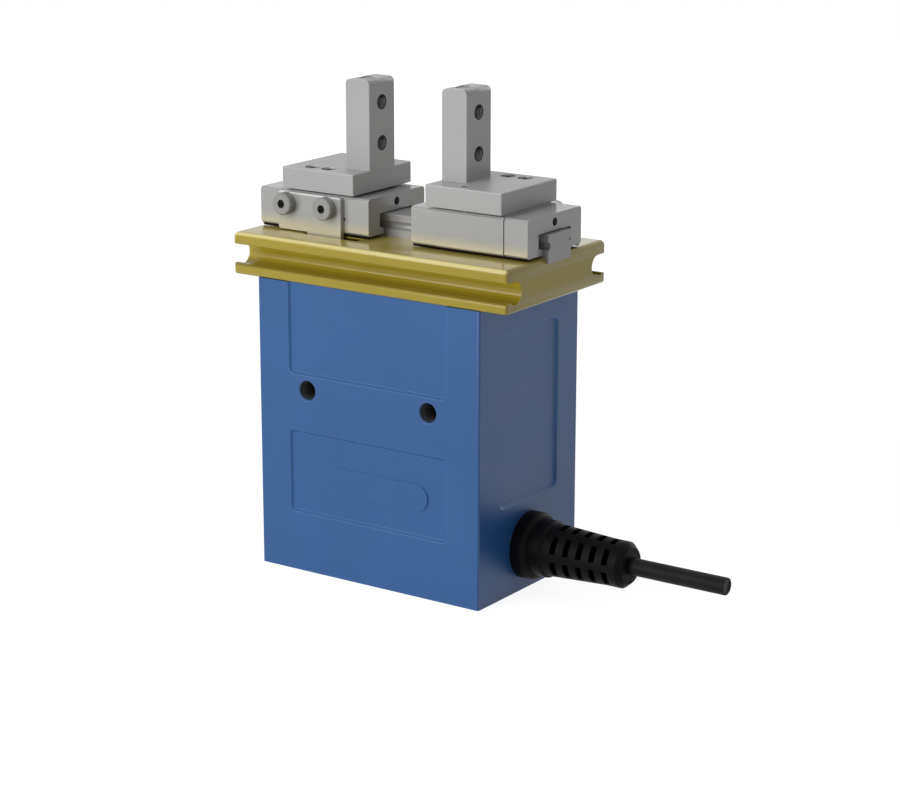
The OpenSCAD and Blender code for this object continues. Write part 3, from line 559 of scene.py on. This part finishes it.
blue = coat("blue_satin_coat", srgb(38, 89, 150), srgb(44, 96, 158), 0.38)
# lighter copy of the blue coat for bevelled edges: a painted edge highlight
blue_edge_highlight = coat("blue_coat_edge_highlight", srgb(66, 118, 178), srgb(76, 126, 184), 0.32)
yellow = coat("yellow_satin_coat", srgb(168, 150, 34), srgb(177, 159, 42), 0.15,
              height=0.006, layer=0.6, specular=0.15)
black_paint = coat("black_painted_metal", srgb(24, 24, 26), srgb(32, 32, 34), 0.5)
board = coat("solder_mask", srgb(14, 84, 46), srgb(18, 96, 54), 0.3)

rail_steel = metal("ground_rail_steel", grey(155), grey(164), 0.22, 0.1,
                   along=(0.1, 1, 1), grain=1500, height=0.0012, marks=0.3)
cap_steel = metal("ground_carriage_steel", grey(169), grey(178), 0.2, 0.08,
                  along=(0.12, 1, 1), grain=1500, height=0.0012, marks=0.3)
alloy = metal("blasted_alloy", grey(172), grey(181), 0.4, 0.08, grain=3000, height=0.006)
# lighter copy of the blasted alloy for bevelled edges: a painted edge highlight
alloy_edge_highlight = metal("alloy_edge_highlight", grey(216), grey(230), 0.34, 0.1)
plated = metal("plated_steel", grey(168), grey(178), 0.2, 0.1,
               grain=1800, height=0.0015, marks=0.25)
# lighter copy of the plated steel for bevelled edges: a painted edge highlight
plated_edge_highlight = metal("plated_edge_highlight", srgb(226, 225, 220), srgb(236, 235, 230), 0.24, 0.1,
                    grain=1800, height=0.001)
thread_steel = metal("thread_steel", srgb(66, 66, 67), srgb(118, 118, 119), 0.35, 0.3)
# shaded copy of thread steel: painted shade for the threads deep in the mount holes
thread_steel_in_shade = metal("thread_steel_in_shade", srgb(8, 9, 13), srgb(14, 15, 20), 0.6, 0.0)
inner_steel = metal("bright_steel", srgb(160, 160, 162), srgb(186, 186, 188), 0.28, 0.9,
                    along=(1, 1, 0.05))
turned_alloy = metal("turned_alloy", srgb(172, 172, 175), srgb(196, 196, 198), 0.32, 0.8,
                     along=(1, 1, 0.04))
brass = metal("turned_brass", srgb(184, 150, 84), srgb(202, 168, 100), 0.3, 0.9)
finger_screw_metal = metal("plated_cap_screw", grey(56), grey(76), 0.35, 0.3, grain=1600)

black_plastic = rubber("black_plastic", srgb(20, 20, 22), grain=2200, specular=0.3)
gland_rubber = rubber("gland_rubber", srgb(8, 8, 9))
boot_rubber = rubber("boot_rubber", srgb(10, 10, 11))
# rubber of the carriage seals, its warm near-black a painted contact shadow under the jaws
wiper_rubber_contact_shadow = rubber("wiper_rubber_contact_shadow", srgb(22, 16, 7), rough=0.6, specular=0.03)
jacket = rubber("cable_jacket", srgb(22, 22, 23), specular=0.1)

screw_metals = []
for number, x in enumerate(BRACKET_SCREWS_X, 1):
    head = metal("plated_screw_%d" % number, srgb(146, 146, 144), srgb(160, 160, 158), 0.3, 0.15,
                 grain=1600)
    knurl(head, x * MM, BRACKET_SCREW_Z * MM, inner=4.05 * MM, teeth=36)
    # painted shade in the hex socket of each screw head
    head.tint(head.bore("X", "Z", [(x, BRACKET_SCREW_Z)], radius=1.6), grey(36))
    screw_metals.append(head)

# painted shade in the finger's cross holes and their chamfers
finger_hole_shade = alloy.bore("Y", "Z", [(0, z) for z in FINGER_HOLES.values()], radius=2.95)
alloy.tint(finger_hole_shade, srgb(14, 14, 15))
# painted shade in the small pin hole and in the carriage's grease hole
alloy.tint(alloy.bore("X", "Y", [(PIN_X, PIN_Y)], radius=1.5), HOLE_SHADE)
cap_steel.tint(cap_steel.bore("Y", "Z", [(0, GREASE_HOLE_Z)], radius=1.55), HOLE_SHADE)
flank = cap_high[1] - 0.1 * MM
# painted reflection of the yellow plate, low on the carriage and bracket sides
reflection_from = cap_low[2] + 0.6 * MM
paint_plate_reflection(cap_steel, reflection_from, rise=4.4 * MM, half=flank)
# painted highlight along the top of the bracket
painted_top_highlight = plated.span(plated.place("Z"), 0, 1, cap_high[2] - 1 * MM, cap_high[2] - 0.7 * MM)
plated.tint(painted_top_highlight, srgb(236, 236, 234))
paint_plate_reflection(plated, reflection_from, rise=4.8 * MM, half=flank)
shade_plate(yellow, plate_low, plate_high)
# painted shade in the housing's front mount holes
front_only = blue.span(blue.place("Y"), 1, 0, -28 * MM, -24 * MM)
mount_hole_shade = blue.bore("X", "Z", [(MOUNT_X, MOUNT_Z)], radius=3.7)
blue.tint(blue.product(front_only, mount_hole_shade), srgb(8, 10, 18))

LOOKS = {
    "housing": blue, "guide_plate": yellow, "bottom_cover": black_paint,
    "guide_rail": rail_steel, "gearbox": turned_alloy, "motor_front_bell": turned_alloy,
    "motor_stator": black_paint, "motor_rear_bell": turned_alloy,
    "encoder_cover": black_plastic, "control_board": board, "board_standoffs": brass,
    "board_parts": black_plastic, "shaft_bush": brass, "cable_gland": gland_rubber,
    "gland_locknut": black_plastic, "strain_relief": boot_rubber, "inner_cable": jacket,
    "cable": jacket,
}
for _, jaw in JAWS:
    LOOKS[jaw + "_carriage"] = cap_steel
    LOOKS[jaw + "_outer_cap"] = cap_steel
    LOOKS[jaw + "_inner_cap"] = cap_steel
    LOOKS[jaw + "_finger"] = alloy
    LOOKS[jaw + "_bracket"] = plated
    LOOKS[jaw + "_bracket_screw_1"] = screw_metals[0]
    LOOKS[jaw + "_bracket_screw_2"] = screw_metals[1]
    LOOKS[jaw + "_finger_screw"] = finger_screw_metal


def dress(obj, look):
    """Puts a finish on every slot of an object."""
    if not obj.material_slots:
        obj.data.materials.append(look.mat)
    for slot in obj.material_slots:
        slot.material = look.mat


for name, obj in NODES.items():
    dress(obj, LOOKS.get(name, inner_steel))
dress(cable, jacket)


# ---------- threads in the open holes ----------

THREAD_LENGTH = 9 * MM
MOUNT_THREAD_Y = -32.6 * MM
FINGER_THREAD_BACK = 5 * MM  # how far before the finger's middle its threads begin

for side, name in JAWS:
    piece = threads(
        name + "_mount_thread", (side * MOUNT_X * MM, MOUNT_THREAD_Y, MOUNT_Z * MM), (0, 1, 0),
        length=THREAD_LENGTH, root=3.38 * MM, crest=2.9 * MM, pitch=1.25 * MM,
    )
    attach(piece, "base")
    dress(piece, thread_steel_in_shade)
    for hole, height in FINGER_HOLES.items():
        piece = threads(
            name + "_" + hole + "_finger_thread",
            (side * FINGER_X * MM - FINGER_THREAD_BACK, 0, height * MM), (1, 0, 0),
            length=THREAD_LENGTH, root=2.48 * MM, crest=2.14 * MM, pitch=1 * MM,
        )
        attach(piece, name + "_jaw")
        dress(piece, thread_steel)


# ---------- guide plate and carriage seals ----------

PLATE_PLAN_R = 1.3 * MM
PLATE_FOOT_R = 1.1 * MM
LIP_R = 1.7 * MM
LIP_REACH = 0.1

skin = Vector((0.01 * MM, 0.01 * MM, 0.01 * MM))
low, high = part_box("guide_plate")
keep = pillow("plate_keep", Vector(low) + skin, Vector(high) - skin,
              PLATE_PLAN_R, PLATE_TOP_R, PLATE_FOOT_R)
cuts = [lip_cutter("lip", side * high[1], GROOVE_LOW, LIP_R, LIP_REACH) for side in (-1, 1)]
plate = carved("guide_plate_body", NODES["guide_plate"], keep, cuts)
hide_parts("guide_plate")
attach(plate, "base")
dress(plate, yellow)


def seal(name, x0, x1, half, under, top):
    """Thin band over the joint of a carriage and its inner cap, with cut upper corners."""
    cut = 0.8 * MM
    thick = 0.85 * MM
    bm = bmesh.new()
    rows = []
    for x in (x0, x1):
        for depth in (0, thick):
            w, crown, foot = half - depth, top - depth, under + cut
            c = cut - 0.4 * depth
            rows.append([bm.verts.new((x, *p)) for p in (
                (-w, foot), (-w, crown - c), (-w + c, crown),
                (w - c, crown), (w, crown - c), (w, foot),
            )])
    for one, two in ((0, 1), (1, 3), (3, 2), (2, 0)):
        for k in range(5):
            bm.faces.new((rows[one][k], rows[one][k + 1], rows[two][k + 1], rows[two][k]))
    for k in (0, 5):
        bm.faces.new([rows[i][k] for i in (0, 1, 3, 2)])
    bmesh.ops.recalc_face_normals(bm, faces=bm.faces)
    return mesh_object(name, bm, smooth=False)


SEAL_ON_CAP, SEAL_ON_BODY = 0.65 * MM, 0.25 * MM  # how far a seal reaches from the joint
SEAL_RISE = 0.05 * MM  # how far it stands above the cap's top
SEAL_SHORT = 0.006 * MM  # what it stays short of that height and of the carriage's sides

for side, name in JAWS:
    low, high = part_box(name + "_inner_cap")
    body_low, body_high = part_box(name + "_carriage")
    joint = high[0] if side > 0 else low[0]
    ends = sorted((joint - side * SEAL_ON_CAP, joint + side * SEAL_ON_BODY))
    piece = seal(name + "_cap_seal", *ends, body_high[1] - SEAL_SHORT, body_low[2],
                 high[2] + SEAL_RISE - SEAL_SHORT)
    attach(piece, name + "_jaw")
    dress(piece, cap_steel)


WIPER_INSET = 0.5 * MM  # from the jaw's ends and sides
WIPER_SUNK = 0.05 * MM  # how far its root goes into the caps
WIPER_OUTLINE = (  # millimetres outward and upward from the lip's outer upper corner
    (0, 0), (0, -0.45), (-0.25, -0.8), (-0.75, -0.8), (-1.5, -0.35), (-3.2, -0.3), (-3.2, 0),
)


def wiper(name, x0, x1, half, under):
    """Pair of soft lips along the underside of a jaw's side walls, just clear of the plate; a seal
    whose warm near-black is a painted contact shadow.
    """
    end = 0.5 * MM  # length over which a lip tapers at its ends
    bm = bmesh.new()
    for side in (-1, 1):
        loops = []
        for x, scale, inset in ((x0, 0.95, 0.15), (x0 + end, 1, 0), (x1 - end, 1, 0),
                                (x1, 0.95, 0.15)):
            loops.append([
                bm.verts.new((x, side * (half + (y * scale - inset) * MM), under + z * MM))
                for y, z in WIPER_OUTLINE
            ])
        for one, two in zip(loops, loops[1:]):
            bridge(bm, one, two)
        bm.faces.new(loops[0])
        bm.faces.new(loops[-1])
    bmesh.ops.recalc_face_normals(bm, faces=bm.faces)
    return mesh_object(name, bm, smooth=False)


for side, name in JAWS:
    inner_low, inner_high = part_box(name + "_inner_cap")
    outer_low, outer_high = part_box(name + "_outer_cap")
    x0 = min(inner_low[0], outer_low[0]) + WIPER_INSET
    x1 = max(inner_high[0], outer_high[0]) - WIPER_INSET
    piece = wiper(name + "_wiper", x0, x1, cap_high[1] - WIPER_INSET, cap_low[2] + WIPER_SUNK)
    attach(piece, name + "_jaw")
    dress(piece, wiper_rubber_contact_shadow)


# ---------- softened edges ----------

def soften(obj, width, edge=None):
    """Rounds a piece's sharp edges by width millimetres; the new faces may take a lighter finish, a
    painted edge highlight.
    """
    weld = obj.modifiers.new("weld", "WELD")
    weld.merge_threshold = WELD_GAP
    flat = obj.modifiers.new("flat", "DECIMATE")
    flat.decimate_type = "DISSOLVE"
    flat.angle_limit = FLAT
    bevel = obj.modifiers.new("bevel", "BEVEL")
    bevel.width = width * MM
    bevel.segments = 2
    bevel.limit_method = "ANGLE"
    bevel.angle_limit = SHARP
    bevel.use_clamp_overlap = True
    bevel.harden_normals = True
    bevel.miter_outer = "MITER_ARC"
    if edge is not None:
        obj.data.materials.append(edge.mat)
        bevel.material = 1


# the bevels of housing, fingers and brackets take the lighter copies as painted edge highlights
soften(NODES["housing"], 0.35, blue_edge_highlight)
for _, jaw in JAWS:
    soften(NODES[jaw + "_finger"], 0.3, alloy_edge_highlight)
    soften(NODES[jaw + "_carriage"], 0.2)
    soften(NODES[jaw + "_outer_cap"], 0.2)
    soften(NODES[jaw + "_inner_cap"], 0.2)
    soften(NODES[jaw + "_bracket"], 0.4, plated_edge_highlight)


# ---------- light and floor ----------

MIDDLE = (0, 0, 0.1)
LAMPS = (  # name, place, side of the square, watts
    ("key", (-0.65, -1.45, 0.85), 1, 13.3),
    ("low_fill", (-0.3, -1.6, 0.35), 0.5, 5),
    ("top", (-0.2, 0.2, 1.6), 1.2, 5),
    ("back_fill", (0, 1.6, 0.5), 0.6, 3.5),
)
WORLD_LIGHT = 0.15
PAPER, SHADE = 0.8, 0.3  # how white the floor is as it bounces light and where it's seen
FLOOR_RADIUS = 1.7
GLOW_NEAR, GLOW_FAR = 0.25, 1.1  # the floor's glow rises to white between these distances


def lamp(name, place, target, size, power):
    """Square area light at a place, turned to a target, that the camera doesn't see."""
    data = bpy.data.lights.new(name, "AREA")
    data.shape = "SQUARE"
    data.size = size
    data.energy = power
    obj = bpy.data.objects.new(name, data)
    scene.collection.objects.link(obj)
    obj.location = place
    obj.visible_camera = False
    obj.rotation_mode = "QUATERNION"
    obj.rotation_quaternion = (Vector(target) - Vector(place)).to_track_quat("-Z", "Y")


def empty_tree(owner):
    """The node tree of a world or material, with nothing in it."""
    owner.use_nodes = True
    owner.node_tree.nodes.clear()
    return owner.node_tree


def rays(tree, first, *others):
    """Mask that is 1 for the named kinds of ray."""
    path = tree.nodes.new("ShaderNodeLightPath")
    mask = path.outputs[first]
    for kind in others:
        either = tree.nodes.new("ShaderNodeMath")
        either.operation = "MAXIMUM"
        tree.links.new(mask, either.inputs[0])
        tree.links.new(path.outputs[kind], either.inputs[1])
        mask = either.outputs[0]
    return mask


def shader(tree, kind, level):
    """Shader node with a neutral linear colour."""
    n = tree.nodes.new(kind)
    n.inputs["Color"].default_value = (level, level, level, 1)
    return n


def choose(tree, mask, off, on, output):
    """Sends the first shader to the output where the mask is 0 and the second where it is 1."""
    blend = tree.nodes.new("ShaderNodeMixShader")
    out = tree.nodes.new(output)
    for value, socket in zip((mask, off, on), blend.inputs):
        tree.links.new(value, socket)
    tree.links.new(blend.outputs["Shader"], out.inputs["Surface"])


for name, place, size, power in LAMPS:
    lamp(name, place, MIDDLE, size, power)

# The world is white to the camera and in reflections, and lights the piece only a little.
world = bpy.data.worlds.new("studio")
scene.world = world
tree = empty_tree(world)
plain = shader(tree, "ShaderNodeBackground", 1)
plain.inputs["Strength"].default_value = WORLD_LIGHT
white = shader(tree, "ShaderNodeBackground", 1)
white.inputs["Strength"].default_value = 1
choose(tree, rays(tree, "Is Camera Ray", "Is Glossy Ray"),
       plain.outputs["Background"], white.outputs["Background"], "ShaderNodeOutputWorld")

# The floor bounces light as pale paper and is seen as a glow with a faint shadow on it.
bm = bmesh.new()
bmesh.ops.create_circle(bm, cap_ends=True, radius=FLOOR_RADIUS, segments=128)
floor = mesh_object("floor", bm, smooth=False)
floor_mat = bpy.data.materials.new("pale_floor")
tree = empty_tree(floor_mat)
paper = shader(tree, "ShaderNodeBsdfDiffuse", PAPER)
shade = shader(tree, "ShaderNodeBsdfDiffuse", SHADE)
glow = shader(tree, "ShaderNodeEmission", 1)
coords = tree.nodes.new("ShaderNodeTexCoord")
away = tree.nodes.new("ShaderNodeVectorMath")
away.operation = "LENGTH"
fade = tree.nodes.new("ShaderNodeMapRange")
fade.inputs["From Min"].default_value = GLOW_NEAR
fade.inputs["From Max"].default_value = GLOW_FAR
fade.inputs["To Min"].default_value = 0.9
fade.inputs["To Max"].default_value = 1.0
tree.links.new(coords.outputs["Object"], away.inputs[0])
tree.links.new(away.outputs["Value"], fade.inputs["Value"])
tree.links.new(fade.outputs["Result"], glow.inputs["Strength"])
both = tree.nodes.new("ShaderNodeAddShader")
tree.links.new(shade.outputs["BSDF"], both.inputs[0])
tree.links.new(glow.outputs["Emission"], both.inputs[1])
choose(tree, rays(tree, "Is Camera Ray", "Is Glossy Ray", "Is Transmission Ray"),
       paper.outputs["BSDF"], both.outputs["Shader"], "ShaderNodeOutputMaterial")
floor.data.materials.append(floor_mat)

scene.view_settings.view_transform = "Standard"
